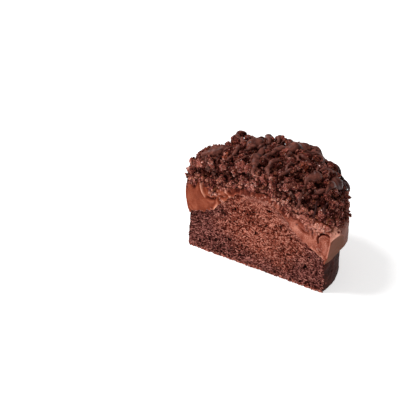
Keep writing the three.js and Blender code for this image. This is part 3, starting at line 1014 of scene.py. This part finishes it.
def crumb_tags(spots, ways, sunk, depths):
    """How light the crumbs are, lighter where the knife has opened them, with painted shade the deeper they
    lie and in their creases, and which are toasted."""
    opened = ease(-ways[:, 1], 0.3, 0.8) * ease(CUT_PLANE + 3.0 - spots[:, 1], 0.0, 1.5)
    tints = np.clip(rng.beta(1.6, 2.0, len(spots)) + OPENED_LIGHTER * opened, 0, 1)
    tints = np.clip(tints - 0.06 + TINT_DRIFT * drift(spots, 3.6, 251), 0, 1)
    toasted = (rng.random(len(spots)) < TOASTED_SHARE) * rng.uniform(*TOASTED_BY, len(spots))
    # Painted shade for crumbs that lie deep in the heap.
    shade = DEEPEST * ease(sunk, *SHADE_DEPTHS)
    return {"tint": tints, "toasted": toasted, "hollow": depths + (1 - depths) * shade[:, None]}


# Clumps that stand out by their size or colour, each with its pixel, radius and tint.
MARKED_CLUMPS = (
    ((239.5, 134.5), 2.3, 0.3),
    ((234.5, 137), 2.1, 0.35),
    ((236.5, 141), 2.4, 0.3),
    ((190.5, 170), 2.3, 0.45),
    ((229, 144), 1.9, 0.4),
    ((254, 140), 2.6, 0.45),
    ((273, 140), 1.8, 0.35),
    ((277, 137), 1.4, 0.25),
    ((283, 138), 2.3, 0.4),
    ((288, 142), 2.0, 0.5),
    ((304, 166), 2.4, 0.5),
    ((316, 156), 2.0, 0.6),
    ((317, 149), 1.6, 0.45),
    ((331.5, 166), 2.1, 0.3),
    ((193, 163), 2.2, 0.55),
    ((199, 156), 1.8, 0.5),
    ((193, 179), 2.4, 0.35),
    ((226, 155), 2.4, 0.6),
    ((240, 167), 3.2, 0.5),
    ((210, 163), 2.2, 0.65),
    ((298, 167), 1.6, 0.75),
    ((318, 179), 2.2, 0.2),
    ((336, 192), 2.4, 0.6),
    ((334, 205), 2.8, 0.4),
    ((340, 203), 1.8, 0.5),
    ((347, 207), 1.5, 0.4),
    ((336, 168), 1.6, 0.3),
    ((340, 214), 2.2, 0.5),
    ((329, 198), 1.8, 0.5),
    ((276, 152), 2.2, 0.45),
    ((222, 168), 2.0, 0.6),
    ((291, 180), 2.6, 0.5),
    ((322, 214), 2.4, 0.5),
)
TOASTED_CLUMPS = ((304, 166), (226, 155), (316, 156))
marked = len(MARKED_CLUMPS)
marked_pixels, marked_sizes, marked_tints = zip(*MARKED_CLUMPS)
marked_spots, marked_ways = zip(*[heap_seen(pixel) for pixel in marked_pixels])

spots, ways = heap_spots(CLUMP_TRIES)
sizes = np.concatenate([marked_sizes, rng.uniform(*CLUMP_SIZES, len(spots))])
spots = np.concatenate([marked_spots, spots])
ways = np.concatenate([marked_ways, ways])
depths_in = sizes * CLUMP_SINK - rng.uniform(-0.6, 0.6, len(sizes))
depths_in[:marked] = np.array(marked_sizes) * MARKED_SINK
free = clear_of_mousse(spots - ways * depths_in[:, None], sizes, 0.6)
free[:marked] = True
spots, ways, sizes, depths_in = only(free, spots, ways, sizes, depths_in)
keep = np.union1d(np.arange(marked), apart(spots, sizes, CLUMP_CLOSENESS))[:CLUMPS]
spots, ways, sizes, depths_in = only(keep, spots, ways, sizes, depths_in)
shapes, faces, depths = crumb_shapes(len(keep), rounds=4, lumps=44, lump_sizes=CLUMP_LUMPS)
tags = crumb_tags(spots, ways, np.zeros(len(keep)), depths)
tags["tint"] = 0.15 + 0.5 * tags["tint"]
tags["tint"][:marked] = marked_tints
tags["toasted"] = np.zeros(len(keep))
tags["toasted"][:marked] = [0.8 if pixel in TOASTED_CLUMPS else 0.0 for pixel in marked_pixels]
places = spots - ways * depths_in[:, None]
clumps, points, faces = joined("crumb_clumps", shapes, faces, places, sizes, tags, crumb_finish, smooth=False)
heap_soup = [(points, faces), (core_points, faces_of(core_mesh)), (moved_mousse, faces_of(mousse_mesh))]


def surface_of(soup):
    """What lies in the heap so far, to lay the next crumbs on."""
    points, faces, start = [], [], 0
    for more_points, more_faces in soup:
        points.extend(more_points)
        faces.extend(tuple(int(corner) + start for corner in face) for face in more_faces)
        start += len(more_points)
    return tree_of(points, faces)


def drop(surface, spots, ways):
    """Where crumbs that fall towards the heap come to rest, as heights over its skin."""
    heights = np.full(len(spots), np.nan)
    for i, (spot, way) in enumerate(zip(spots, ways)):
        hit = surface.ray_cast(Vector(spot + way * DROP_HEIGHT), Vector(-way), 2 * DROP_HEIGHT)
        if hit[0] is not None:
            heights[i] = DROP_HEIGHT - hit[3]
    return heights


def scatter_crumbs(name, wanted, rounds, lumps, size_range, closeness, sink, lowest, proud):
    """Crumbs of one kind, laid on what is there, but not deep in a gap nor much prouder than the skin."""
    spots, ways = heap_spots(wanted * 4)
    sizes = rng.uniform(*size_range, len(spots))
    heights = drop(surface_of(heap_soup), spots, ways)
    middles = heights + sizes * sink
    fits = np.isfinite(heights) & (middles + sizes * 0.8 < proud) & (heights > lowest)
    fits &= clear_of_mousse(spots + ways * np.nan_to_num(middles)[:, None], sizes, 0.5)
    spots, ways, sizes, middles = only(fits, spots, ways, sizes, middles)
    keep = apart(spots, sizes, closeness)[:wanted] if closeness else np.arange(min(wanted, len(spots)))
    spots, ways, sizes, middles = only(keep, spots, ways, sizes, middles)
    shapes, faces, depths = crumb_shapes(len(keep), rounds, lumps, CRUMB_LUMPS)
    tags = crumb_tags(spots, ways, -middles, depths)
    places = spots + ways * middles[:, None]
    piece, points, faces = joined(name, shapes, faces, places, sizes, tags, crumb_finish, smooth=False)
    heap_soup.append((points, faces))


scatter_crumbs("crumb_pieces", PIECES, 2, 10, PIECE_SIZES, closeness=0.6, sink=0.2, lowest=-3.0, proud=1.2)
scatter_crumbs("crumb_bits", BITS, 1, 7, BIT_SIZES, closeness=0.45, sink=0.1, lowest=-1.6, proud=1.6)
scatter_crumbs("crumb_grains", GRAINS, 1, 5, GRAIN_SIZES, closeness=0.0, sink=0.0, lowest=-0.8, proud=2.0)


# ---- The crumbs along the seam ------------------------------------------------------------------------
# Where the heap meets the mousse on the cut, the knife has pulled crumbs down and torn lumps of mousse up,
# so that the seam is a ragged band of both.
SEAM_CRUMBS, STRAYS = 440, 70
SEAM_ENDS = (-39.5, 40.0)
SMEARED_SHARE = 0.3
# How far up the wall single crumbs start to cling to it.
STRAY_UP = 29.5
# Patches of crumbs: middle pixel, spread across and up, how many, smallest and largest, tint, how smeared.
PATCHES = (
    ((212, 187), 1.8, 1.7, 130, (0.4, 1.0), 0.05, 0.0),
    ((192, 179), 1.0, 1.6, 40, (0.4, 0.9), 0.3, 0.0),
    ((214, 194), 2.4, 0.8, 30, (0.4, 0.9), 0.9, 1.0),
    ((225, 189), 1.6, 1.3, 30, (0.3, 0.7), 0.5, 0.5),
    ((225, 204), 1.6, 0.5, 10, (0.5, 0.8), 0.9, 1.0),
    ((240, 186), 5.0, 0.5, 40, (0.4, 0.9), 0.1, 0.0),
    ((262, 189), 4.5, 0.6, 40, (0.4, 0.9), 0.2, 0.1),
    ((246, 197.5), 1.3, 0.4, 7, (0.3, 0.6), 0.9, 1.0),
    ((256, 198), 2.0, 0.4, 8, (0.3, 0.6), 0.9, 1.0),
    ((266, 203.5), 2.5, 0.6, 12, (0.3, 0.7), 0.9, 1.0),
    ((283, 204), 4.5, 1.0, 50, (0.4, 1.0), 0.7, 0.8),
    ((318, 218), 2.2, 1.2, 60, (0.5, 1.2), 0.3, 0.0),
    ((312, 219), 3.0, 0.4, 60, (0.4, 0.9), 0.25, 0.0),
    ((323, 223), 2.2, 0.5, 50, (0.4, 0.9), 0.25, 0.0),
    ((301, 216), 3.2, 1.8, 75, (0.5, 1.2), 0.5, 0.4),
    ((309, 226), 3.0, 1.7, 65, (0.5, 1.3), 0.45, 0.4),
    ((319, 229), 2.2, 0.9, 40, (0.6, 1.2), 0.95, 0.9),
    ((328, 228), 2.6, 0.8, 30, (0.4, 1.0), 0.45, 0.3),
    ((332, 232), 1.6, 0.4, 7, (0.8, 1.4), 1.0, 1.0),
    ((318, 251), 1.5, 1.2, 22, (0.25, 0.6), 0.8, 0.9),
    ((323, 246), 1.5, 1.8, 16, (0.2, 0.45), 0.7, 0.9),
)
SEAM_SPREAD = 0.35
# Single dark crumbs that cling to the wall: pixel and size.
WALL_CRUMBS = (((338.6, 232.5), 0.95), ((345.6, 245), 0.9), ((342, 226), 0.5))
surface = surface_of(heap_soup + [(moved_brownie, faces_of(brownie_mesh))])
across = rng.uniform(*SEAM_ENDS, SEAM_CRUMBS)
heights = np.interp(across, seam_across, seam_up)
heights = heights + np.abs(rng.normal(0.9, 1.0, SEAM_CRUMBS)) + 0.4
seam_places = [np.stack([across, heights], 1)]
seam_sizes = [0.3 + 0.9 * rng.beta(1.2, 3.0, SEAM_CRUMBS)]
seam_tints = [rng.beta(1.5, 2.0, SEAM_CRUMBS)]
seam_smears = [(rng.random(SEAM_CRUMBS) < SMEARED_SHARE) * rng.uniform(0.5, 1.0, SEAM_CRUMBS)]
for pixel, wide, tall, count, size_range, tint, smear in PATCHES:
    seam_places.append(cut_place(pixel) + rng.normal(0, (wide, tall), (count, 2)))
    seam_sizes.append(rng.uniform(*size_range, count))
    seam_tints.append(tint + rng.uniform(-SEAM_SPREAD, SEAM_SPREAD, count))
    seam_smears.append(smear * rng.uniform(0.3, 1.0, count))
seam_places, seam_sizes = np.concatenate(seam_places), np.concatenate(seam_sizes)
seam_tints, seam_smears = np.concatenate(seam_tints), np.concatenate(seam_smears)
laid = []
for (x, z), size in zip(seam_places, seam_sizes):
    spot = surface.ray_cast(Vector((x, CUT_PLANE - DROP_HEIGHT, z)), INTO_CUT, 2 * DROP_HEIGHT)[0]
    laid.append(np.full(3, np.nan) if spot is None else np.array(spot) + np.array([0, 0.2 * size, 0]))
laid = np.array(laid)
found = np.flatnonzero(np.isfinite(laid[:, 0]))
shapes, faces, depths = crumb_shapes(len(found), rounds=2, lumps=9, lump_sizes=CRUMB_LUMPS)
# Painted shade in the crumbs' creases.
tags = {"tint": seam_tints[found], "smear": seam_smears[found], "hollow": depths * 0.8}
places, sizes = laid[found], seam_sizes[found]
seam_crumbs = joined("seam_crumbs", shapes, faces, places, sizes, tags, crumb_finish, smooth=False)[0]

turns = rng.uniform(0, math.pi, STRAYS)
rises = STRAY_UP + np.abs(rng.normal(0, 1.6, STRAYS))
sizes = rng.uniform(0.2, 0.6, STRAYS)
rays = []
for turn, rise in zip(turns, rises):
    way = Vector((math.cos(turn), math.sin(turn), 0))
    rays.append((Vector((*TART_CENTRE, rise)) + way * WELL_CLEAR, -way))
rays.extend((eye_place, sight(pixel)) for pixel, size in WALL_CRUMBS)
hits = [mousse_tree.ray_cast(*ray)[0] for ray in rays]
inside = Vector((*TART_CENTRE, 40))
places = np.array([inside if hit is None else hit for hit in hits])
sizes = np.concatenate([sizes, [size for pixel, size in WALL_CRUMBS]])
shapes, faces, depths = crumb_shapes(len(places), rounds=2, lumps=9, lump_sizes=CRUMB_LUMPS)
tints = np.concatenate([rng.beta(2.0, 2.4, STRAYS), np.full(len(WALL_CRUMBS), 0.1)])
# Painted shade in the crumbs' creases.
tags = {"tint": tints, "hollow": depths * 0.6}
strays = joined("stray_crumbs", shapes, faces, places, sizes, tags, crumb_finish, smooth=False)[0]


# ---- The drizzle --------------------------------------------------------------------------------------
# Melted dark chocolate, flicked to and fro over the crumbs from a spoon. It sets as flattened ribbons and
# thin strands that bridge the crumbs, with thick loops where the spoon turned back.
# Each strand has its widths, evenly spread from end to end, and its pixels.
STRANDS = (
    ((2.2, 4.2, 5.6, 4.6, 2.2), ((200, 152.5), (207, 151), (213, 150), (219, 148), (227, 145.5))),
    ((1.8, 1.7, 1.1), ((210, 151), (206.5, 155), (206, 161))),
    ((2.6, 1.9, 1.1, 0.8), ((239, 143.5), (237, 148), (232, 153), (226, 158))),
    ((0.7, 1.0, 1.4), ((221, 149.5), (227, 147.5), (233, 146))),
    ((0.6, 1.0, 1.2, 1.0), ((235, 160.5), (242, 158), (247, 154), (252, 151.5))),
    ((1.6, 4.2, 4.8, 2.4), ((246, 143.5), (251, 142.5), (257, 141), (264, 140))),
    ((1.2, 2.6, 2.8, 1.6), ((243, 148), (250, 146.5), (257, 145), (263, 143))),
    (
        (1.1, 1.5, 2.4, 3.1, 3.7, 3.8, 2.0),
        ((271, 139), (267, 144), (262, 149), (257.5, 154), (255.5, 159), (255, 165), (253, 171)),
    ),
    ((1.4, 1.4, 0.9), ((262, 156), (268, 158), (271, 158))),
    (
        (1.5, 2.2, 2.8, 3.8, 6.2, 7.4, 4.4),
        ((262, 152), (270, 151), (278, 149), (286, 147.5), (296, 146), (304, 145.5), (311, 147)),
    ),
    ((0.9, 1.2, 1.2, 0.8), ((266, 148), (273, 147), (280, 144), (285, 141))),
    ((1.2, 1.6, 1.9, 1.7, 1.0), ((285.5, 157), (289, 152.5), (294, 151), (298, 154), (300, 160))),
    ((1.2, 1.7, 1.2), ((297, 151.5), (304, 153), (311, 157))),
    ((0.8, 1.6, 1.2), ((285, 167), (290, 163.5), (297, 161.5))),
    ((1.0, 2.3, 2.3, 1.4), ((269.5, 174), (268, 166), (272, 161), (280, 157))),
    ((0.9, 1.7, 1.2), ((279, 174), (285, 171), (292, 167))),
    ((0.9, 1.8, 4.2, 5.2, 2.8), ((305, 184), (306.5, 179), (311, 176), (316, 175), (321, 173))),
    ((1.2, 1.4), ((317.5, 165), (317, 168), (316, 171))),
    ((1.4, 1.6, 1.8, 1.4), ((319, 170.5), (325, 169.5), (331, 171), (335, 174))),
    ((1.1, 2.2, 4.8, 6.4, 4.4), ((325.5, 193), (327.5, 187), (332, 182.5), (337, 181), (341.5, 182))),
    ((1.2, 1.7, 1.2), ((317, 155), (323, 156), (328, 163))),
    ((1.2, 2.0, 1.4), ((314, 191), (320, 189), (326, 188))),
    ((1.0, 1.5, 1.0), ((302.5, 189), (300, 197), (297, 207))),
    ((0.9, 1.3, 0.8), ((318, 197), (316, 205), (314, 212), (314, 218))),
    ((0.9, 1.4, 0.8), ((329, 200), (325, 204), (324.5, 208), (326, 212))),
)
# More strands over the hidden back: flicks across its top, from and to a place across and back, and loops
# that hang over its shoulder, each with its turn, width and how far down it hangs.
FLICKS = (
    ((1.2, 2.4, 3.4, 1.6), (-33, 2), (-16, 17)),
    ((1.0, 1.4, 1.0), (-24, 9), (-2, 18)),
    ((1.6, 3.6, 2.4), (-10, 12), (8, 18)),
    ((1.0, 1.5, 1.1), (0, 19), (16, 12)),
    ((1.4, 2.0, 3.8, 2.6), (14, 17), (30, 6)),
    ((1.0, 1.7, 1.2), (8, 12), (22, 13)),
)
LOOPS = (
    ((1.1, 1.6, 2.4, 1.6, 1.0), 54, 18),
    ((1.4, 2.2, 4.2, 2.4, 1.2), 69, 8),
    ((0.9, 1.3, 1.6, 1.2), 83, 24),
    ((1.2, 1.8, 3.2, 1.6, 1.0), 97, 12),
    ((1.6, 3.0, 4.8, 3.2, 1.4), 117, 20),
    ((1.0, 1.4, 1.8, 1.2), 134, 6),
    ((1.2, 2.0, 3.4, 2.0), 152, 16),
)
# Each loop's shape in turn and height, both in degrees, and the height that none of them passes.
LOOP_HIGHEST = 52
LOOP_SHAPE = ((-4, 44), (-4, 30), (-1, 10), (3, 0), (7, 6), (10, 22), (10, 36), (14, 42))
HEAP_HEART = Vector((TART_CENTRE[0], TART_CENTRE[1] + 11.0, 35.0))
OUT_OF_HEAP = 60
STRAND_STEP = 0.4
STRAND_SIDES = 12
# A ribbon's thickness, at least and for each millimetre of its width, and how much its edges droop.
THIN, THICKER, DROOP = 0.32, 0.14, 0.22
# How much its width swells, its line wanders from side to side and its surface is uneven.
SWELL, WANDER, UNEVEN = 0.15, 0.25, 0.12
# A ribbon rests on the highest crumb across its lanes, bridges gaps of this many steps on both sides, stands
# this far over the crumbs, and sinks this low where nothing props it.
LANES = (-0.4, -0.2, 0.0, 0.2, 0.4)
BRIDGE = 3
REST = 0.05
UNPROPPED = -2.0
# The strands seen in the photograph face the eye by this much; the others lie flat.
SEEN_LEAN, NO_LEAN = 0.8 * np.array(eye_back), np.zeros(3)
# How many pixels higher a strand shows than the skin that it lies over.
STRAND_RISE = 2.5
# The thick drizzle at the right shoulder gets painted shade: from where out, and up to what height.
DARK_OUT, DARK_UP = (16.0, 25.0), (45.0, 50.0)

drizzle_finish, start, place = new_finish("dark_drizzle")
bloom = clouds(start, place, 0.4)
lit_colour = mix(start, (bloom - 0.5) * 2.4 + 0.5, paint(54, 20, 15), paint(130, 74, 62))
# A darker copy of the drizzle's colour: painted shade.
painted_shade_colour = mix(start, (bloom - 0.5) * 2.4 + 0.5, paint(34, 10, 8), paint(74, 34, 29))
coat(
    start,
    {
        "Base Color": mix(start, read_tag(start, "dark"), lit_colour, painted_shade_colour),
        "Roughness": 0.3 + 0.15 * bloom,
        "Specular IOR Level": 0.12,
        "Normal": rough_bump(start, clouds(start, place, 1.4), 0.35, 0.3),
    },
)
heap_surface = surface_of(heap_soup)


def smoothed(values, rounds):
    for again in range(rounds):
        middle = (values[:-2] + 2 * values[1:-1] + values[2:]) / 4
        values = np.concatenate([values[:1], middle, values[-1:]])
    return values


def strand(spots, widths, lean, seed):
    """The corners and faces of one ribbon that lies over the crumbs along a row of spots, leaning one way."""
    spots = curve_through(spots, STRAND_STEP)
    near = [heap_skin.find_nearest(Vector(spot)) for spot in spots]
    spots = np.array([np.array(found[0]) for found in near])
    ways = smoothed(np.array([np.array(found[1]) for found in near]), 14)
    ways /= np.linalg.norm(ways, axis=1, keepdims=True)
    along = np.gradient(spots, axis=0)
    facing = ways + lean
    side = np.cross(along, facing)
    side /= np.maximum(np.linalg.norm(side, axis=1, keepdims=True), 1e-6)
    facing = np.cross(side, along)
    facing /= np.maximum(np.linalg.norm(facing, axis=1, keepdims=True), 1e-6)
    count = len(spots)
    share = np.linspace(0, 1, count)
    width = np.interp(share, np.linspace(0, 1, len(widths)), widths)
    lanes = [drop(heap_surface, spots + side * width[:, None] * lane, ways) for lane in LANES]
    heights = np.nan_to_num(np.array(lanes), nan=UNPROPPED).max(axis=0)
    padded = np.pad(heights, BRIDGE, "edge")
    highest = np.max([padded[k : k + len(heights)] for k in range(2 * BRIDGE + 1)], axis=0)
    heights = smoothed(0.75 * highest + 0.25 * heights, 4)
    middles = smoothed(spots + ways * (heights + REST)[:, None], 2)
    gone = share[:, None] * count * STRAND_STEP
    swell = 1 + SWELL * drift(gone, 3.5, seed) + SWELL * drift(gone, 1.3, seed + 50)
    end = np.clip(1 - np.abs(2 * share - 1) ** 6, 0.03, 1) ** 0.6
    half = width / 2 * swell * end
    thick = np.minimum((THIN + THICKER * width) * end, half)
    middles = middles + side * (WANDER * drift(gone, 2.2, seed + 90))[:, None]
    turn = np.arange(STRAND_SIDES) / STRAND_SIDES * 2 * math.pi
    across = np.sign(np.cos(turn)) * np.abs(np.cos(turn)) ** 0.85
    up = np.where(np.sin(turn) > 0, np.abs(np.sin(turn)) ** 0.8, np.sin(turn) * 0.6)
    lift = thick[:, None] * up - DROOP * half[:, None] * across**2
    corners = middles[:, None] + side[:, None] * (half[:, None] * across)[..., None]
    corners += facing[:, None] * lift[..., None]
    corners = corners.reshape(-1, 3)
    corners += UNEVEN * np.stack([drift(corners, 1.1, seed + axis) for axis in range(3)], 1)
    rows = np.arange(count - 1)[:, None] * STRAND_SIDES
    lane = np.arange(STRAND_SIDES)[None]
    after = (lane + 1) % STRAND_SIDES
    faces = np.stack([rows + lane, rows + lane + STRAND_SIDES, rows + after + STRAND_SIDES, rows + after], 2)
    first_end = tuple(range(STRAND_SIDES))
    last_end = tuple(reversed(range((count - 1) * STRAND_SIDES, count * STRAND_SIDES)))
    return trimmed(corners), [tuple(face) for face in faces.reshape(-1, 4)] + [first_end, last_end]


def heap_from_heart(turn, rise):
    """The place on the heap's skin in a direction from its heart."""
    turn, rise = math.radians(turn), math.radians(rise)
    level = math.cos(rise)
    way = Vector((math.cos(turn) * level, math.sin(turn) * level, math.sin(rise)))
    return np.array(heap_skin.ray_cast(HEAP_HEART + way * OUT_OF_HEAP, -way)[0])


def heap_from_above(place):
    """The place on the heap's skin under a place across and back."""
    spot = heap_skin.ray_cast(Vector((*place, WELL_CLEAR)), DOWN)[0]
    return np.array(spot if spot is not None else heap_skin.find_nearest(Vector((*place, 40)))[0])


runs = []
for widths, pixels in STRANDS:
    runs.append(([heap_seen((x, y + STRAND_RISE))[0] for x, y in pixels], widths, SEEN_LEAN))
for widths, first, last in FLICKS:
    spread = np.linspace(first, last, 7) + rng.normal(0, 1.3, (7, 2))
    runs.append(([heap_from_above(place) for place in spread], widths, NO_LEAN))
for widths, turn, lowest in LOOPS:
    row = []
    for across, rise in LOOP_SHAPE:
        turned = turn + across + rng.uniform(-1.5, 1.5)
        row.append(heap_from_heart(turned, lowest + rise * (1 - lowest / LOOP_HIGHEST)))
    runs.append((row, widths, NO_LEAN))
strand_points, strand_faces = [], []
for number, (row, widths, lean) in enumerate(runs):
    points, faces = strand(row, widths, lean, 300 + number)
    start = len(strand_points)
    strand_points.extend(points)
    strand_faces.extend(tuple(int(corner) + start for corner in face) for face in faces)

drizzle_mesh = bpy.data.meshes.new("drizzle")
strand_points = np.array(strand_points)
drizzle_mesh.from_pydata(strand_points * MM, [], strand_faces)
write_points(drizzle_mesh, strand_points)
out = (strand_points[:, :2] - TART_CENTRE) @ SLUMP_WAY
# Painted shade on the thick drizzle at the right shoulder.
tag(drizzle_mesh, "dark", ease(out, *DARK_OUT) * (1 - ease(strand_points[:, 2], *DARK_UP)))
drizzle = new_piece("chocolate_drizzle", drizzle_mesh, drizzle_finish)
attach(drizzle, "root")
